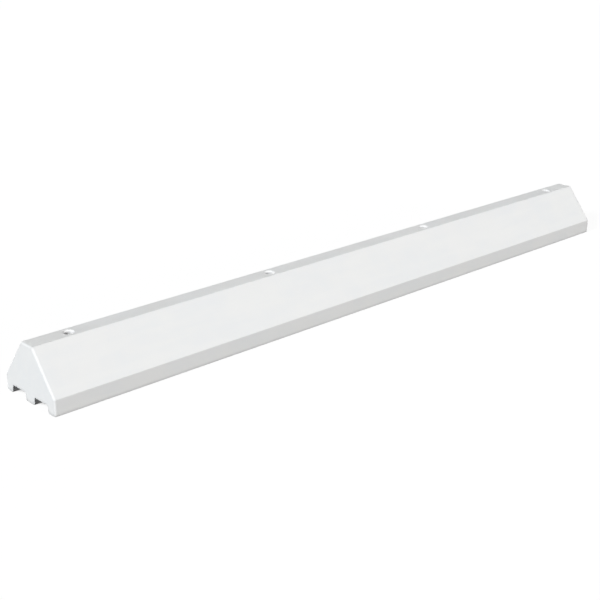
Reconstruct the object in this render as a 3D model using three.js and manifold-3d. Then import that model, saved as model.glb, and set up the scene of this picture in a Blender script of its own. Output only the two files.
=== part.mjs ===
// A parking wheel stop: one long moulded plastic block with a flat top, two sloped sides and three
// feet, and the four steel pins that hold it to the ground through its countersunk holes.
// Millimetres. X runs along the stop, Y across it and Z up. The origin is on the ground under its middle.

import * as THREE from 'three';
import { mergeVertices } from 'three/addons/utils/BufferGeometryUtils.js';
import Module from 'manifold-3d';

// Block: outer shape
const stopLength = 1828.8;
const baseWidth = 183;
const topWidth = 41;
const stopHeight = 127;
const bandHeight = 36.5; // the upright band along each side, below the slope
const endRound = 5; // rounding of the side, slope and top edges of both end faces
const endRoundSteps = 4;

// Block: feet and the two channels between them
const channelDepth = 17.5;
const middleFootWidth = 32; // measured on the ground, before its corners are rounded
const outerFootWidth = 24;
const footTaper = 1.5; // how far each inner foot wall leans over the channel's depth
const footRound = 6;
const channelRound = 3;
const arcSteps = 3; // straight pieces in each rounded corner of an outline

// Block: pin holes on the centreline
const holeCount = 4;
const holeEndDistance = 98; // from each end of the block to the nearest hole
const boreDiameter = 19;
const mouthDiameter = 25; // the 45 degree countersink, where it meets the top
const holeSides = 32;

// Pins: 16 mm bar, driven down until the heads are out of sight in the bores
const pinDiameter = 16;
const pinRecess = 15; // from the block's top down to the pin's head
const pinGroundGap = 1; // from the ground up to the pin's lower end
const pinChamfer = 1.5;
const pinCrown = 0.6; // the head is slightly domed
const pinSides = 24;

const cutOvershoot = 10; // how far a cutter runs past the surface that it cuts

const plastic = new THREE.MeshStandardMaterial({ color: 0xeceeef, roughness: 0.55, metalness: 0 });
const steel = new THREE.MeshStandardMaterial({ color: 0x5b5652, roughness: 0.65, metalness: 1 });

const wasm = await Module();
wasm.setup();

function toSolid(geometry) {
  const bare = geometry.clone();
  bare.deleteAttribute('normal');
  bare.deleteAttribute('uv');
  const merged = mergeVertices(bare);
  return new wasm.Manifold(new wasm.Mesh({
    numProp: 3,
    vertProperties: new Float32Array(merged.attributes.position.array),
    triVerts: new Uint32Array(merged.index.array),
  }));
}

function toGeometry(solid) {
  const mesh = solid.getMesh();
  const geometry = new THREE.BufferGeometry();
  geometry.setAttribute('position', new THREE.BufferAttribute(mesh.vertProperties, 3));
  geometry.setIndex(new THREE.BufferAttribute(mesh.triVerts, 1));
  geometry.computeVertexNormals();
  return geometry;
}

// Adds one corner of an outline to a shape, as an arc where the corner has a radius.
function addCorner(shape, before, corner, after) {
  if (!corner.round) {
    shape.lineTo(corner.point.x, corner.point.y);
    return;
  }
  const back = before.point.clone().sub(corner.point).normalize();
  const ahead = after.point.clone().sub(corner.point).normalize();
  const halfAngle = Math.acos(back.dot(ahead)) / 2;
  const reach = corner.round / Math.tan(halfAngle);
  const start = corner.point.clone().addScaledVector(back, reach);
  const end = corner.point.clone().addScaledVector(ahead, reach);
  const towardCentre = back.clone().add(ahead).normalize();
  const centre = corner.point.clone().addScaledVector(towardCentre, corner.round / Math.sin(halfAngle));
  const startAngle = Math.atan2(start.y - centre.y, start.x - centre.x);
  const endAngle = Math.atan2(end.y - centre.y, end.x - centre.x);
  const clockwise = back.cross(ahead) > 0;
  shape.lineTo(start.x, start.y);
  shape.absarc(centre.x, centre.y, corner.round, startAngle, endAngle, clockwise);
}

// The outline that has these corners on its +Y side and the same corners mirrored on its -Y side.
function mirroredShape(right) {
  const left = right.map((corner) => ({ ...corner, y: -corner.y })).reverse();
  const corners = [...right, ...left].map(({ y, z, round = 0 }) => ({ point: new THREE.Vector2(y, z), round }));
  const shape = new THREE.Shape();
  shape.moveTo(0, corners[0].point.y);
  corners.forEach((corner, i) => {
    const before = corners[(i + corners.length - 1) % corners.length];
    const after = corners[(i + 1) % corners.length];
    addCorner(shape, before, corner, after);
  });
  return shape;
}

// Draws an outline in Y and Z out along X. Both ends can have a quarter round at their edges.
function drawnAlongX(shape, length, round = 0) {
  const straight = length - 2 * round;
  const geometry = new THREE.ExtrudeGeometry(shape, {
    depth: straight,
    curveSegments: arcSteps,
    bevelEnabled: round > 0,
    bevelThickness: round,
    bevelSize: round,
    bevelOffset: -round,
    bevelSegments: endRoundSteps,
  });
  geometry.translate(0, 0, -straight / 2);
  const alongY = new THREE.Vector3(0, 1, 0);
  const alongZ = new THREE.Vector3(0, 0, 1);
  const alongX = new THREE.Vector3(1, 0, 0);
  return geometry.applyMatrix4(new THREE.Matrix4().makeBasis(alongY, alongZ, alongX));
}

// The sides, slopes, top and ends. It runs on below the ground, so that no rounding reaches the feet.
function outside() {
  return drawnAlongX(mirroredShape([
    { y: baseWidth / 2, z: -cutOvershoot },
    { y: baseWidth / 2, z: bandHeight },
    { y: topWidth / 2, z: stopHeight },
  ]), stopLength, endRound);
}

// The feet and channels, under a bar that is wider, higher and longer than the block.
function underside() {
  const footWall = middleFootWidth / 2;
  const outerWall = baseWidth / 2 - outerFootWidth;
  const clearSide = baseWidth / 2 + cutOvershoot;
  return drawnAlongX(mirroredShape([
    { y: footWall, z: 0, round: footRound },
    { y: footWall + footTaper, z: channelDepth, round: channelRound },
    { y: outerWall - footTaper, z: channelDepth, round: channelRound },
    { y: outerWall, z: 0, round: footRound },
    { y: clearSide, z: 0 },
    { y: clearSide, z: stopHeight + cutOvershoot },
  ]), stopLength + 2 * cutOvershoot);
}

// A solid turned about the Z axis from its profile of [radius, height] pairs, lowest first.
function turned(profile, sides) {
  const points = profile.map(([radius, height]) => new THREE.Vector2(radius, height));
  return new THREE.LatheGeometry(points, sides).rotateX(Math.PI / 2);
}

function holeCutter() {
  const bore = boreDiameter / 2;
  const mouth = mouthDiameter / 2;
  const sinkDepth = mouth - bore;
  return turned([
    [0, -cutOvershoot],
    [bore, -cutOvershoot],
    [bore, stopHeight - sinkDepth],
    [mouth, stopHeight],
    [mouth, stopHeight + cutOvershoot],
    [0, stopHeight + cutOvershoot],
  ], holeSides);
}

function holePlaces() {
  const first = holeEndDistance - stopLength / 2;
  const pitch = (stopLength - 2 * holeEndDistance) / (holeCount - 1);
  return Array.from({ length: holeCount }, (_, i) => first + i * pitch);
}

function stopBlock() {
  const cutter = toSolid(holeCutter());
  let solid = toSolid(outside()).intersect(toSolid(underside()));
  for (const x of holePlaces()) {
    solid = solid.subtract(cutter.translate([x, 0, 0]));
  }
  const mesh = new THREE.Mesh(toGeometry(solid), plastic);
  mesh.name = 'stop_block';
  return mesh;
}

function anchorPin(number, x) {
  const radius = pinDiameter / 2;
  const head = stopHeight - pinRecess;
  const mesh = new THREE.Mesh(turned([
    [0, pinGroundGap],
    [radius, pinGroundGap],
    [radius, head - pinCrown - pinChamfer],
    [radius - pinChamfer, head - pinCrown],
    [0, head],
  ], pinSides), steel);
  mesh.name = `anchor_pin_${number}`;
  mesh.position.x = x;
  return mesh;
}

const wheelStop = new THREE.Group();
wheelStop.add(stopBlock());
holePlaces().forEach((x, i) => wheelStop.add(anchorPin(i + 1, x)));

export default wheelStop;
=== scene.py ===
import math

import bmesh
import bpy
from mathutils import Matrix, Vector


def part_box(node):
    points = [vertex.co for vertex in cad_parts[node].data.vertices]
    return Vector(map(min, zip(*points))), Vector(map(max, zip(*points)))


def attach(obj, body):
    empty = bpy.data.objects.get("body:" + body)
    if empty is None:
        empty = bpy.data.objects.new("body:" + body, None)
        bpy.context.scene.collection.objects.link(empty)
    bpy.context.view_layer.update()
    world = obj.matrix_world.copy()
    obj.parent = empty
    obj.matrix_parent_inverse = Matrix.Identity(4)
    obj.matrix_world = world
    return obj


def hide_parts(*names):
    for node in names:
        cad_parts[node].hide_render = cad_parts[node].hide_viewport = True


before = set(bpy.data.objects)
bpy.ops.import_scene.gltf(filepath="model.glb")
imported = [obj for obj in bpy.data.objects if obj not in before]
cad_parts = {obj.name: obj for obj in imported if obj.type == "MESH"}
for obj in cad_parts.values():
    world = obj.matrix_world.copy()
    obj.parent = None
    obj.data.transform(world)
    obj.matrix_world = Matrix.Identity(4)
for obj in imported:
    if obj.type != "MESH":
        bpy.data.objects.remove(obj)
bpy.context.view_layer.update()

print("frame loaded:", len(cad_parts), "parts")


view = {
    "place": (-1.9483, -1.8837, 0.9966),
    "yaw": 46.703,  # turned from +X towards +Y
    "pitch": 20.414,  # looking down
    "roll": 0.197,
    "lens": 68.73,
    "sensor": 36,
    "farthest": 60,  # metres seen past the camera
}


def addCamera():
    yaw, pitch, roll = (math.radians(view[key]) for key in ("yaw", "pitch", "roll"))
    ahead = Vector((math.cos(yaw) * math.cos(pitch), math.sin(yaw) * math.cos(pitch), -math.sin(pitch)))
    levelRight = Vector((math.sin(yaw), -math.cos(yaw), 0))
    levelUp = levelRight.cross(ahead)
    right = levelRight * math.cos(roll) + levelUp * math.sin(roll)
    up = levelUp * math.cos(roll) - levelRight * math.sin(roll)
    turn = Matrix((right, up, -ahead)).transposed()
    bpy.ops.object.camera_add(location=view["place"], rotation=turn.to_euler())
    camera = bpy.context.object
    camera.data.lens = view["lens"]
    camera.data.sensor_width = view["sensor"]
    camera.data.clip_end = view["farthest"]
    bpy.context.scene.camera = camera


def selectOnly(piece):
    bpy.ops.object.select_all(action="DESELECT")
    piece.select_set(True)
    bpy.context.view_layer.objects.active = piece


def startEdit(piece, mode="FACE"):
    selectOnly(piece)
    bpy.ops.object.mode_set(mode="EDIT")
    bpy.ops.mesh.select_mode(type=mode)
    bpy.ops.mesh.select_all(action="SELECT")


def endEdit():
    bpy.ops.object.mode_set(mode="OBJECT")


def pick(piece, kind, wanted):
    modes = {"verts": "VERT", "edges": "EDGE", "faces": "FACE"}
    bpy.ops.mesh.select_mode(type=modes[kind])
    bpy.ops.mesh.select_all(action="DESELECT")
    mesh = bmesh.from_edit_mesh(piece.data)
    for item in getattr(mesh, kind):
        if wanted(item):
            item.select_set(True)
    mesh.select_flush_mode()
    bmesh.update_edit_mesh(piece.data)


def middleOf(edge):
    return (edge.verts[0].co + edge.verts[1].co) / 2


def near(a, b, within=1e-5):
    return abs(a - b) < within


def facesUp(face, atLeast=0.9):
    return face.normal.z > atLeast


def applyPlace(piece):
    selectOnly(piece)
    bpy.ops.object.transform_apply(location=True, rotation=True, scale=True)


def roundOff(offset, steps):
    bpy.ops.mesh.bevel(offset=offset, segments=steps, affect="EDGES", clamp_overlap=False)


def cut(piece, cutter, way):
    selectOnly(piece)
    bpy.ops.object.modifier_add(type="BOOLEAN")
    modifier = piece.modifiers[-1]
    modifier.operation = way
    modifier.solver = "EXACT"
    modifier.object = cutter
    bpy.ops.object.modifier_apply(modifier=modifier.name)


def smooth(piece, angle):
    selectOnly(piece)
    bpy.ops.object.shade_smooth_by_angle(angle=math.radians(angle))
    bpy.ops.object.modifier_add(type="WEIGHTED_NORMAL")
    piece.modifiers[-1].keep_sharp = True
    bpy.ops.object.modifier_apply(modifier=piece.modifiers[-1].name)


block = {
    "bandHeight": 0.0365,
    "topWidth": 0.041,
    "channelDepth": 0.0175,
    "middleFoot": 0.032,
    "outerFoot": 0.024,
    "footTaper": 0.0015,
    "endRound": 0.005,  # down the slopes and the sides of both end faces
    "mouthRound": 0.0008,  # around the feet and channels of both end faces
    "endSteps": 6,
    "topRound": 0.0009,
    "bandRound": 0.0009,
    "heelRound": 0.0025,  # the outer bottom edges
    "footRound": 0.005,
    "channelRound": 0.003,
    "roundSteps": 4,
    "bore": 0.019,
    "mouth": 0.025,  # the countersink, across the top
    "rimRound": 0.0009,
    "throatRound": 0.0004,
    "exitRound": 0.0004,
    "holeSides": 64,
    "holeMargin": 0.024,  # the length of plain block kept on each side of a hole's middle
    "stations": 5,  # rings of edges around the block between two holes
    "overshoot": 0.01,
    "leastTurn": 0.5,  # degrees between two faces that meet at a real edge
    "mouthTurn": 60,  # degrees between an end face and the faces along the block
    "ringWithin": 2e-5,
    "mergeWithin": 1e-6,
    "smoothAngle": 30,
}


def sectionCorners(width, height):
    footWall = block["middleFoot"] / 2
    outerWall = width / 2 - block["outerFoot"]
    return {
        "footRound": [(footWall, 0), (outerWall, 0)],
        "channelRound": [
            (footWall + block["footTaper"], block["channelDepth"]),
            (outerWall - block["footTaper"], block["channelDepth"]),
        ],
        "heelRound": [(width / 2, 0)],
        "bandRound": [(width / 2, block["bandHeight"])],
        "topRound": [(block["topWidth"] / 2, height)],
    }


def bisectAt(point, normal):
    bpy.ops.mesh.bisect(plane_co=point, plane_no=normal)


def drawSection(piece, low, width, height):
    bpy.ops.transform.resize(value=(1, width, height), center_override=(low.x, 0, height / 2))
    bisectAt((low.x, 0, block["bandHeight"]), (0, 0, 1))
    pick(piece, "verts", lambda v: near(v.co.z, height))
    narrowing = block["topWidth"] / width
    bpy.ops.transform.resize(value=(1, narrowing, 1), center_override=(low.x, 0, height))
    pick(piece, "faces", lambda f: f.calc_center_median().z < block["bandHeight"])
    bisectAt((low.x, 0, block["channelDepth"]), (0, 0, 1))
    corners = sectionCorners(width, height)
    for (groundY, _), (ceilingY, depth) in zip(corners["footRound"], corners["channelRound"]):
        for side in (-1, 1):
            pick(piece, "faces", lambda f: f.calc_center_median().z < block["channelDepth"])
            lean = side * (ceilingY - groundY)
            bisectAt((low.x, side * groundY, 0), (0, depth, -lean))
    innerWall, outerWall = (y for y, _ in corners["footRound"])
    pick(piece, "faces", lambda f: f.calc_center_median().z < block["channelDepth"]
         and innerWall < abs(f.calc_center_median().y) < outerWall)
    bpy.ops.mesh.delete(type="FACE")
    bpy.ops.mesh.select_all(action="SELECT")
    bpy.ops.mesh.dissolve_faces()
    pick(piece, "verts", lambda v: near(abs(v.co.y), width / 2) and near(v.co.z, block["channelDepth"]))
    bpy.ops.mesh.dissolve_verts()


def turnAt(edge):
    return math.degrees(edge.calc_face_angle(0))


def atAnEnd(vert, low, high):
    return near(vert.co.x, low.x) or near(vert.co.x, high.x)


def roundBlock(piece, low, high, width, height):
    steps = block["roundSteps"]

    def onOutside(vert):
        return near(abs(vert.co.y), width / 2) or vert.co.z > block["bandHeight"]

    pick(piece, "edges", lambda e: all(atAnEnd(v, low, high) and onOutside(v) for v in e.verts)
         and near(e.verts[0].co.x, e.verts[1].co.x))
    roundOff(block["endRound"], block["endSteps"])
    corners = sectionCorners(width, height)
    everyCorner = [(Vector(place), role) for role, places in corners.items() for place in places]

    def roleOf(edge):
        if near(edge.verts[0].co.x, edge.verts[1].co.x):
            return None
        middle = middleOf(edge)
        across = Vector((abs(middle.y), middle.z))
        return min(everyCorner, key=lambda corner: (corner[0] - across).length)[1]

    for role in ("footRound", "channelRound", "heelRound", "bandRound", "topRound"):
        pick(piece, "edges", lambda e: roleOf(e) == role and turnAt(e) > block["leastTurn"])
        roundOff(block[role], steps)
    pick(piece, "edges", lambda e: all(atAnEnd(v, low, high) for v in e.verts)
         and turnAt(e) > block["mouthTurn"])
    roundOff(block["mouthRound"], steps)


def makeHoleCutter(place, low, high):
    bore, mouth, over = block["bore"] / 2, block["mouth"] / 2, block["overshoot"]
    throat = high.z - (mouth - bore)
    floor = low.z - over
    bpy.ops.mesh.primitive_cylinder_add(vertices=block["holeSides"], radius=bore, depth=throat - floor,
                                        location=(place.x, place.y, (throat + floor) / 2))
    cutter = bpy.context.object
    applyPlace(cutter)
    startEdit(cutter)
    pick(cutter, "faces", facesUp)
    bpy.ops.mesh.extrude_region_move(TRANSFORM_OT_translate={"value": (0, 0, mouth - bore)})
    wide = mouth / bore
    bpy.ops.transform.resize(value=(wide, wide, 1), center_override=(place.x, place.y, high.z))
    bpy.ops.mesh.extrude_region_move(TRANSFORM_OT_translate={"value": (0, 0, over)})
    endEdit()
    return cutter


def addStations(piece, places, low, high):
    margin, count = block["holeMargin"], block["stations"]
    edges = [low.x + block["endRound"]]
    for place in places:
        edges += [place.x - margin, place.x + margin]
    edges.append(high.x - block["endRound"])
    rings = edges[1:-1]
    for start, stop in zip(edges[0::2], edges[1::2]):
        rings += [start + (stop - start) * step / (count + 1) for step in range(1, count + 1)]
    startEdit(piece)
    for x in rings:
        bpy.ops.mesh.select_all(action="SELECT")
        bisectAt((x, 0, 0), (1, 0, 0))
    endEdit()


def cutHoles(piece, places, low, high):
    for place in places:
        cutter = makeHoleCutter(place, low, high)
        cut(piece, cutter, "DIFFERENCE")
        bpy.data.objects.remove(cutter)
    bore, mouth = block["bore"] / 2, block["mouth"] / 2
    rings = [
        (high.z, mouth, "rimRound"),
        (high.z - mouth + bore, bore, "throatRound"),
        (low.z, bore, "exitRound"),
    ]
    startEdit(piece)
    for ringHeight, radius, role in rings:
        def onRing(vert):
            nearest = min(places, key=lambda place: abs(place.x - vert.co.x))
            away = (vert.co.xy - nearest.xy).length
            return near(vert.co.z, ringHeight) and near(away, radius, block["ringWithin"])

        pick(piece, "edges", lambda e: all(onRing(v) for v in e.verts))
        roundOff(block[role], block["roundSteps"])
    bpy.ops.mesh.select_all(action="SELECT")
    bpy.ops.mesh.remove_doubles(threshold=block["mergeWithin"])
    endEdit()


def makeBlock(low, high):
    length, width, height = high - low
    bpy.ops.mesh.primitive_plane_add(size=1, location=(low.x, 0, height / 2),
                                     rotation=(0, math.pi / 2, 0))
    piece = bpy.context.object
    piece.name = "mouldedBlock"
    applyPlace(piece)
    startEdit(piece)
    drawSection(piece, low, width, height)
    bpy.ops.mesh.select_all(action="SELECT")
    bpy.ops.mesh.extrude_region_move(TRANSFORM_OT_translate={"value": (length, 0, 0)})
    bpy.ops.mesh.select_all(action="SELECT")
    bpy.ops.mesh.normals_make_consistent(inside=False)
    roundBlock(piece, low, high, width, height)
    endEdit()
    return piece


pin = {
    "core": 0.0152,
    "coreSides": 48,
    "headChamfer": 0.0012,
    "headSteps": 4,
    "headSpread": 0.0006,  # the hammered head is this much wider than the bar
    "headHeight": 0.005,
    "lugPitch": 0.0105,
    "lugStart": 0.6,  # pitches from the bar's lower end up to the first lug
    "lugLean": 24,
    "lugHeight": 0.0009,
    "lugWidth": 0.0022,
    "lugSink": 0.001,  # how far a lug's ends sink into the bar
    "lugFade": 1.2,  # above 1 sinks the middle of a lug a little too
    "lugThinnest": 0.4,  # a lug's thickness at its ends, as a share of its middle's
    "lugSteps": 40,
    "lugSides": 8,
    "ribWidth": 0.0024,
    "ribHeight": 0.0009,
    "ribRound": 0.7,  # the rounding of a rib's edges, as a share of its height
    "ribSteps": 3,
    "mergeWithin": 2e-5,
    "smoothAngle": 35,
}


def makeBar(low, high):
    middle = (low + high) / 2
    radius = pin["core"] / 2
    bpy.ops.mesh.primitive_cylinder_add(vertices=pin["coreSides"], radius=radius, depth=high.z - low.z,
                                        location=middle)
    bar = bpy.context.object
    bar.name = "barPin"
    applyPlace(bar)
    startEdit(bar)
    neck = high.z - pin["headHeight"]
    bisectAt((0, 0, neck), (0, 0, 1))
    pick(bar, "faces", facesUp)
    wide = 1 + pin["headSpread"] / radius
    bpy.ops.transform.resize(value=(wide, wide, 1), center_override=(middle.x, middle.y, high.z))
    roundOff(pin["headChamfer"], pin["headSteps"])
    endEdit()
    return bar


def addLugs(bar, low, high):
    middle = (low + high) / 2
    radius, halfWidth = pin["core"] / 2, pin["lugWidth"] / 2
    thinnest = pin["lugThinnest"]
    first = low.z + pin["lugPitch"] * pin["lugStart"]
    bpy.ops.mesh.primitive_torus_add(location=(middle.x, middle.y, first), major_radius=radius,
                                     minor_radius=halfWidth, major_segments=pin["lugSteps"],
                                     minor_segments=pin["lugSides"])
    lugs = bpy.context.object
    applyPlace(lugs)
    startEdit(lugs)
    leanSlope = math.tan(math.radians(pin["lugLean"]))
    for vertex in bmesh.from_edit_mesh(lugs.data).verts:
        across = vertex.co.xy - middle.xy
        fullness = abs(across.normalized().x)  # a lug fades out before it meets the long ribs
        rise = (across.length - radius) * fullness * pin["lugHeight"] / halfWidth
        across.length = radius + rise - pin["lugSink"] * (pin["lugFade"] - fullness)
        vertex.co.xy = middle.xy + across
        thickness = thinnest + (1 - thinnest) * fullness
        vertex.co.z = first + (vertex.co.z - first) * thickness + leanSlope * across.x
    bmesh.update_edit_mesh(lugs.data)
    endEdit()
    bpy.ops.object.modifier_add(type="ARRAY")
    rows = lugs.modifiers[-1]
    rows.count = int((high.z - pin["headHeight"] - first) / pin["lugPitch"])
    rows.use_relative_offset = False
    rows.use_constant_offset = True
    rows.constant_offset_displace = (0, 0, pin["lugPitch"])
    bpy.ops.object.modifier_apply(modifier=rows.name)
    cut(bar, lugs, "UNION")
    bpy.data.objects.remove(lugs)


def addRibs(bar, low, high):
    middle = (low + high) / 2
    radius = pin["core"] / 2
    top = high.z - pin["headHeight"]
    for side in (-1, 1):
        place = (middle.x, middle.y + side * radius, (low.z + top) / 2)
        bpy.ops.mesh.primitive_cube_add(size=1, location=place)
        rib = bpy.context.object
        applyPlace(rib)
        startEdit(rib)
        ribSize = (pin["ribWidth"], 2 * pin["ribHeight"], top - low.z)
        bpy.ops.transform.resize(value=ribSize, center_override=place)
        pick(rib, "edges", lambda e: near(middleOf(e).y, middle.y + side * (radius + pin["ribHeight"]))
             and not near(e.verts[0].co.z, e.verts[1].co.z))
        roundOff(pin["ribHeight"] * pin["ribRound"], pin["ribSteps"])
        endEdit()
        cut(bar, rib, "UNION")
        bpy.data.objects.remove(rib)


def makePins(boxes):
    first = makeBar(*boxes[0])
    addRibs(first, *boxes[0])
    addLugs(first, *boxes[0])
    startEdit(first)
    bpy.ops.mesh.remove_doubles(threshold=pin["mergeWithin"])
    bpy.ops.mesh.normals_make_consistent(inside=False)
    endEdit()
    smooth(first, pin["smoothAngle"])
    pins = [first]
    for low, _ in boxes[1:]:
        selectOnly(first)
        bpy.ops.object.duplicate()
        bpy.context.object.location.x = low.x - boxes[0][0].x
        applyPlace(bpy.context.object)
        pins.append(bpy.context.object)
    for number, piece in enumerate(pins, start=1):
        piece.name = f"barPin{number}"
    return pins


patterns = {
    "cloudNoise": (4.0, 0.55),  # a noise's detail and roughness
    "patchNoise": (5.0, 0.6),
    "fineNoise": (3.0, 0.6),
    "coarseNoise": (2.0, 0.5),
    "hollowSamples": 8,
    "dustFrom": 0.80,  # how level a face is before dust lies on it
    "dustTo": 0.98,
    "patchLow": 0.35,
    "patchHigh": 0.65,
}


def newGroup(name, numbers, output):
    group = bpy.data.node_groups.new(name, "ShaderNodeTree")
    group.interface.new_socket(name="Vector", in_out="INPUT", socket_type="NodeSocketVector")
    for label in numbers:
        group.interface.new_socket(name=label, in_out="INPUT", socket_type="NodeSocketFloat")
    group.interface.new_socket(name=output, in_out="OUTPUT", socket_type="NodeSocketFloat")
    start = group.nodes.new("NodeGroupInput")
    end = group.nodes.new("NodeGroupOutput")
    return group, start.outputs, end.inputs[output]


def plug(tree, value, socket):
    if isinstance(value, bpy.types.NodeSocket):
        tree.links.new(value, socket)
    else:
        socket.default_value = value


def addNode(tree, kind, settings=None, **inputs):
    node = tree.nodes.new(kind)
    for name, value in (settings or {}).items():
        setattr(node, name, value)
    for name, value in inputs.items():
        plug(tree, value, node.inputs[name.replace("_", " ")])
    return node


def calculate(tree, operation, first, second):
    node = addNode(tree, "ShaderNodeMath", {"operation": operation})
    plug(tree, first, node.inputs[0])
    plug(tree, second, node.inputs[1])
    return node.outputs[0]


def remap(tree, value, low, high):
    node = addNode(tree, "ShaderNodeMapRange", {"interpolation_type": "SMOOTHSTEP"},
                   Value=value, From_Min=low, From_Max=high)
    return node.outputs["Result"]


def mixColour(tree, mask, share, under, over):
    factor = calculate(tree, "MULTIPLY", mask, share)
    node = addNode(tree, "ShaderNodeMix", {"data_type": "RGBA"}, Factor=factor)
    underSocket, overSocket = (socket for socket in node.inputs if socket.type == "RGBA")
    plug(tree, under, underSocket)
    plug(tree, over, overSocket)
    return next(socket for socket in node.outputs if socket.type == "RGBA")


def addNoise(tree, place, scale, kind):
    detail, roughness = patterns[kind]
    node = addNode(tree, "ShaderNodeTexNoise", Vector=place, Scale=scale, Detail=detail,
                   Roughness=roughness)
    return node.outputs["Fac"]


def makeCloudGroup():
    group, given, mask = newGroup("cloudyPatches", ["Scale", "Low", "High"], "Mask")
    noise = addNoise(group, given["Vector"], given["Scale"], "cloudNoise")
    group.links.new(remap(group, noise, given["Low"], given["High"]), mask)
    return group


# marks the outer edges, where the piece is thin just under its surface: painted shade on the white
# plastic, real wear on the steel
def makeEdgeGroup():
    group, given, mask = newGroup("edgeRub", ["Radius", "Low", "High"], "Mask")
    settings = {"inside": True, "only_local": True, "samples": patterns["hollowSamples"]}
    within = addNode(group, "ShaderNodeAmbientOcclusion", settings, Distance=given["Radius"])
    thinness = calculate(group, "SUBTRACT", 1.0, within.outputs["AO"])
    group.links.new(remap(group, thinness, given["Low"], given["High"]), mask)
    return group


# painted shade, dark where a face looks into the piece's own hollows, such as the walls of a bore
def makeHollowGroup():
    group, given, mask = newGroup("hollowSoil", ["Reach", "Low", "High"], "Mask")
    settings = {"only_local": True, "samples": patterns["hollowSamples"]}
    around = addNode(group, "ShaderNodeAmbientOcclusion", settings, Distance=given["Reach"])
    closed = calculate(group, "SUBTRACT", 1.0, around.outputs["AO"])
    group.links.new(remap(group, closed, given["Low"], given["High"]), mask)
    return group


def makeDustGroup():
    group, given, mask = newGroup("settledDust", ["Scale", "Patchiness"], "Mask")
    facing = addNode(group, "ShaderNodeNewGeometry")
    split = addNode(group, "ShaderNodeSeparateXYZ", Vector=facing.outputs["Normal"])
    level = remap(group, split.outputs["Z"], patterns["dustFrom"], patterns["dustTo"])
    noise = addNoise(group, given["Vector"], given["Scale"], "patchNoise")
    bare = remap(group, noise, patterns["patchHigh"], patterns["patchLow"])
    spared = calculate(group, "MULTIPLY", bare, given["Patchiness"])
    lying = calculate(group, "SUBTRACT", 1.0, spared)
    group.links.new(calculate(group, "MULTIPLY", level, lying), mask)
    return group


# a mask that rises towards the bottom of the piece, within a given height of the ground, in noisy
# patches
def makeLowDarkeningGroup():
    group, given, mask = newGroup("lowGrime", ["Scale", "Top"], "Mask")
    split = addNode(group, "ShaderNodeSeparateXYZ", Vector=given["Vector"])
    lowness = remap(group, split.outputs["Z"], given["Top"], 0.0)
    noise = addNoise(group, given["Vector"], given["Scale"], "patchNoise")
    group.links.new(calculate(group, "MULTIPLY", lowness, noise), mask)
    return group


def makeGrainGroup():
    group, given, height = newGroup("surfaceGrain", ["Fine", "Coarse", "Coarse Share"], "Height")
    fine = addNoise(group, given["Vector"], given["Fine"], "fineNoise")
    coarse = addNoise(group, given["Vector"], given["Coarse"], "coarseNoise")
    rolling = calculate(group, "MULTIPLY", coarse, given["Coarse Share"])
    fineShare = calculate(group, "SUBTRACT", 1.0, given["Coarse Share"])
    gritty = calculate(group, "MULTIPLY", fine, fineShare)
    group.links.new(calculate(group, "ADD", rolling, gritty), height)
    return group


def useGroup(tree, group, place, **numbers):
    node = addNode(tree, "ShaderNodeGroup", {"node_tree": group}, Vector=place, **numbers)
    return node.outputs[0]


def newMaterial(name):
    material = bpy.data.materials.new(name)
    material.use_nodes = True
    tree = material.node_tree
    place = addNode(tree, "ShaderNodeTexCoord").outputs["Object"]
    return material, tree, tree.nodes["Principled BSDF"], place


def addGrain(tree, shader, groups, place, finish):
    grain = useGroup(tree, groups["grain"], place, Fine=finish["fineGrain"],
                     Coarse=finish["coarseGrain"], Coarse_Share=finish["coarseShare"])
    bump = addNode(tree, "ShaderNodeBump", Height=grain, Distance=finish["grainHeight"])
    tree.links.new(bump.outputs["Normal"], shader.inputs["Normal"])


def setMaterial(piece, material):
    piece.data.materials.clear()
    piece.data.materials.append(material)


whitePlastic = {
    "clean": (0.90, 0.90, 0.895, 1),
    "cool": (0.88, 0.888, 0.893, 1),
    "streak": (0.91, 0.91, 0.90, 1),
    "paintedEdgeShade": (0.74, 0.745, 0.75, 1),
    "dust": (0.70, 0.69, 0.665, 1),
    "grime": (0.42, 0.40, 0.37, 1),
    "soil": (0.22, 0.21, 0.19, 1),
    "cloudScale": 11.0,
    "cloudLow": 0.35,
    "cloudHigh": 0.65,
    "cloudShare": 1.0,
    "streakScale": 55.0,
    "streakLow": 0.4,
    "streakHigh": 0.7,
    "streakLength": 0.12,  # below 1 draws the streaks out along the block
    "streakShare": 0.5,
    "edgeMaskRadius": 0.009,
    "edgeMaskLow": 0.10,
    "edgeMaskHigh": 0.40,
    "edgeMaskShare": 0.9,
    "dustScale": 9.0,
    "dustPatchiness": 0.6,
    "dustShare": 0.28,
    "lowDarkeningScale": 40.0,
    "lowDarkeningTop": 0.010,
    "lowDarkeningShare": 0.35,
    "hollowShadeReach": 0.022,
    "hollowShadeLow": 0.55,
    "hollowShadeHigh": 0.85,
    "hollowShadeShare": 0.7,
    "rough": 0.52,
    "streakRough": 0.10,
    "lowDarkeningRough": 0.20,
    "fineGrain": 700.0,
    "coarseGrain": 18.0,
    "coarseShare": 0.75,
    "grainHeight": 0.0004,
}


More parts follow.
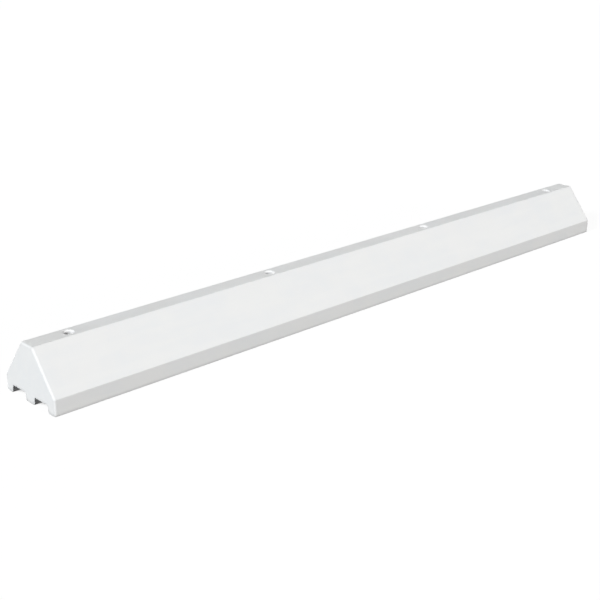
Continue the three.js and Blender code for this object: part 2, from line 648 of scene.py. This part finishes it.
def makeWhitePlastic(groups):
    finish = whitePlastic
    material, tree, shader, place = newMaterial("whitePlastic")
    drawnOut = addNode(tree, "ShaderNodeMapping", Vector=place, Scale=(finish["streakLength"], 1, 1))
    clouds = useGroup(tree, groups["cloud"], place, Scale=finish["cloudScale"], Low=finish["cloudLow"],
                      High=finish["cloudHigh"])
    streaks = useGroup(tree, groups["cloud"], drawnOut.outputs["Vector"], Scale=finish["streakScale"],
                       Low=finish["streakLow"], High=finish["streakHigh"])
    edgeShadeAndWear = useGroup(tree, groups["edge"], place, Radius=finish["edgeMaskRadius"], Low=finish["edgeMaskLow"],
                   High=finish["edgeMaskHigh"])
    dust = useGroup(tree, groups["dust"], place, Scale=finish["dustScale"],
                    Patchiness=finish["dustPatchiness"])
    grime = useGroup(tree, groups["grime"], place, Scale=finish["lowDarkeningScale"], Top=finish["lowDarkeningTop"])
    soil = useGroup(tree, groups["hollow"], place, Reach=finish["hollowShadeReach"], Low=finish["hollowShadeLow"],
                    High=finish["hollowShadeHigh"])
    colour = mixColour(tree, clouds, finish["cloudShare"], finish["clean"], finish["cool"])
    colour = mixColour(tree, streaks, finish["streakShare"], colour, finish["streak"])
    # painted shade along the outer edges of the white plastic, dimming the highlight on its rounded
    # edges
    colour = mixColour(tree, edgeShadeAndWear, finish["edgeMaskShare"], colour, finish["paintedEdgeShade"])
    colour = mixColour(tree, dust, finish["dustShare"], colour, finish["dust"])
    # darker and rougher towards the bottom of the block
    colour = mixColour(tree, grime, finish["lowDarkeningShare"], colour, finish["grime"])
    # painted shade in the bores and under the channels
    colour = mixColour(tree, soil, finish["hollowShadeShare"], colour, finish["soil"])
    tree.links.new(colour, shader.inputs["Base Color"])
    streakRough = calculate(tree, "MULTIPLY", streaks, finish["streakRough"])
    lowDarkeningRough = calculate(tree, "MULTIPLY", grime, finish["lowDarkeningRough"])
    rough = calculate(tree, "ADD", streakRough, finish["rough"])
    rough = calculate(tree, "ADD", lowDarkeningRough, rough)
    tree.links.new(rough, shader.inputs["Roughness"])
    addGrain(tree, shader, groups, place, finish)
    return material


barSteel = {
    "millScale": (0.10, 0.10, 0.105, 1),
    "rust": (0.165, 0.083, 0.047, 1),
    "worn": (0.46, 0.45, 0.44, 1),
    "dust": (0.36, 0.33, 0.30, 1),
    "rustScale": 330.0,
    "rustLow": 0.36,
    "rustHigh": 0.70,
    "rustShare": 0.9,
    "edgeMaskRadius": 0.0008,
    "edgeMaskLow": 0.05,
    "edgeMaskHigh": 0.35,
    "edgeMaskShare": 0.6,
    "dustScale": 300.0,
    "dustPatchiness": 0.7,
    "dustShare": 0.35,
    "rough": 0.45,
    "rustRough": 0.35,
    "rustDullness": 0.85,  # how much less metallic the rust is
    "fineGrain": 2500.0,
    "coarseGrain": 400.0,
    "coarseShare": 0.5,
    "grainHeight": 0.0003,
}


def makeBarSteel(groups):
    finish = barSteel
    material, tree, shader, place = newMaterial("barSteel")
    rust = useGroup(tree, groups["cloud"], place, Scale=finish["rustScale"], Low=finish["rustLow"],
                    High=finish["rustHigh"])
    edgeShadeAndWear = useGroup(tree, groups["edge"], place, Radius=finish["edgeMaskRadius"], Low=finish["edgeMaskLow"],
                   High=finish["edgeMaskHigh"])
    dust = useGroup(tree, groups["dust"], place, Scale=finish["dustScale"],
                    Patchiness=finish["dustPatchiness"])
    colour = mixColour(tree, rust, finish["rustShare"], finish["millScale"], finish["rust"])
    colour = mixColour(tree, edgeShadeAndWear, finish["edgeMaskShare"], colour, finish["worn"])
    colour = mixColour(tree, dust, finish["dustShare"], colour, finish["dust"])
    tree.links.new(colour, shader.inputs["Base Color"])
    dullness = calculate(tree, "MULTIPLY", rust, finish["rustDullness"])
    tree.links.new(calculate(tree, "SUBTRACT", 1.0, dullness), shader.inputs["Metallic"])
    rustRough = calculate(tree, "MULTIPLY", rust, finish["rustRough"])
    rough = calculate(tree, "ADD", rustRough, finish["rough"])
    tree.links.new(rough, shader.inputs["Roughness"])
    addGrain(tree, shader, groups, place, finish)
    return material


studio = {
    "lights": [
        {"name": "frontSoftbox", "from": (0.26, -0.94, 0.18), "power": 1.93, "softness": 14,
         "colour": (1, 0.995, 0.985), "shines": True},
        {"name": "endSoftbox", "from": (-0.85, -0.03, 0.52), "power": 3.4, "softness": 14,
         "colour": (0.965, 0.985, 1), "shines": False},
        {"name": "backFill", "from": (0.65, 0.75, 0.10), "power": 2.0, "softness": 30,
         "colour": (1, 1, 1), "shines": False},
    ],
    "lampDistance": 5,
    "worldLight": 0.08,
    "floorSize": 40,
    "floorSeen": 0.95,  # how bright the floor looks before light falls on it
    "floorShade": 0.07,  # how much of the light and shadow on it shows
    "floorBounce": 0.12,
    "gapReach": 0.15,  # painted shadow: the floor darkens where the block closes over it
    "gapShut": 0.0,
    "gapOpen": 0.13,
    "gapDark": 0.21,
    "gapBounce": 0.30,  # pale light from the floor up into the channels
}


# a matt surface of one grey that also glows
def addPaper(tree, grey, strength):
    glow = addNode(tree, "ShaderNodeEmission", Color=(1, 1, 1, 1), Strength=strength)
    matt = addNode(tree, "ShaderNodeBsdfDiffuse", Color=(grey, grey, grey, 1))
    both = tree.nodes.new("ShaderNodeAddShader")
    tree.links.new(glow.outputs[0], both.inputs[0])
    tree.links.new(matt.outputs[0], both.inputs[1])
    return both.outputs[0]


def makePaleFloor():
    material = bpy.data.materials.new("paleFloor")
    material.use_nodes = True
    tree = material.node_tree
    tree.nodes.clear()
    # painted shadow on the floor: camera rays see its glow dimmed where the block closes over it
    around = addNode(tree, "ShaderNodeAmbientOcclusion", Distance=studio["gapReach"])
    openness = remap(tree, around.outputs["AO"], studio["gapShut"], studio["gapOpen"])
    strength = calculate(tree, "MULTIPLY", openness, studio["floorSeen"] - studio["gapDark"])
    strength = calculate(tree, "ADD", strength, studio["gapDark"])
    seen = addPaper(tree, studio["floorShade"], strength)
    closed = calculate(tree, "SUBTRACT", 1.0, openness)
    bounce = calculate(tree, "MULTIPLY", closed, studio["gapBounce"])
    unseen = addPaper(tree, studio["floorBounce"], bounce)
    ray = addNode(tree, "ShaderNodeLightPath")
    choose = tree.nodes.new("ShaderNodeMixShader")
    tree.links.new(ray.outputs["Is Camera Ray"], choose.inputs[0])
    tree.links.new(unseen, choose.inputs[1])
    tree.links.new(seen, choose.inputs[2])
    output = tree.nodes.new("ShaderNodeOutputMaterial")
    tree.links.new(choose.outputs[0], output.inputs["Surface"])
    return material


def addFloor(low):
    bpy.ops.mesh.primitive_plane_add(size=studio["floorSize"], location=(0, 0, low.z))
    floor = bpy.context.object
    floor.name = "paleFloor"
    setMaterial(floor, makePaleFloor())


def addWorld():
    world = bpy.data.worlds.new("paleRoom")
    bpy.context.scene.world = world
    world.use_nodes = True
    tree = world.node_tree
    background = tree.nodes["Background"]
    ray = addNode(tree, "ShaderNodeLightPath")
    extra = calculate(tree, "MULTIPLY", ray.outputs["Is Camera Ray"], 1.0 - studio["worldLight"])
    strength = calculate(tree, "ADD", extra, studio["worldLight"])
    background.inputs["Color"].default_value = (1, 1, 1, 1)
    tree.links.new(strength, background.inputs["Strength"])


def addLights():
    for row in studio["lights"]:
        direction = Vector(row["from"]).normalized()
        bpy.ops.object.light_add(type="SUN", location=direction * studio["lampDistance"])
        lamp = bpy.context.object
        lamp.name = row["name"]
        lamp.rotation_euler = direction.to_track_quat("Z", "Y").to_euler()
        lamp.data.energy = row["power"]
        lamp.data.color = row["colour"]
        lamp.data.angle = math.radians(row["softness"])
        lamp.visible_glossy = row["shines"]


addCamera()
print("camera placed")

blockLow, blockHigh = (Vector(corner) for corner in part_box("stop_block"))
pinBoxes = [[Vector(corner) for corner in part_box(f"anchor_pin_{number}")] for number in range(1, 5)]
holePlaces = [(low + high) / 2 for low, high in pinBoxes]

groups = {
    "cloud": makeCloudGroup(),
    "edge": makeEdgeGroup(),
    "hollow": makeHollowGroup(),
    "dust": makeDustGroup(),
    "grime": makeLowDarkeningGroup(),
    "grain": makeGrainGroup(),
}
print("patterns made:", len(groups))

body = makeBlock(blockLow, blockHigh)
addStations(body, holePlaces, blockLow, blockHigh)
cutHoles(body, holePlaces, blockLow, blockHigh)
smooth(body, block["smoothAngle"])
setMaterial(body, makeWhitePlastic(groups))
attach(body, "stop")
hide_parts("stop_block")
print("block moulded:", len(body.data.polygons), "faces")

steel = makeBarSteel(groups)
for number, piece in enumerate(makePins(pinBoxes), start=1):
    setMaterial(piece, steel)
    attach(piece, f"pin_{number}")
    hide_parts(f"anchor_pin_{number}")
print("pins set in their bores")

addFloor(blockLow)
addWorld()
addLights()
bpy.context.scene.view_settings.view_transform = "Standard"
print("floor and light set")
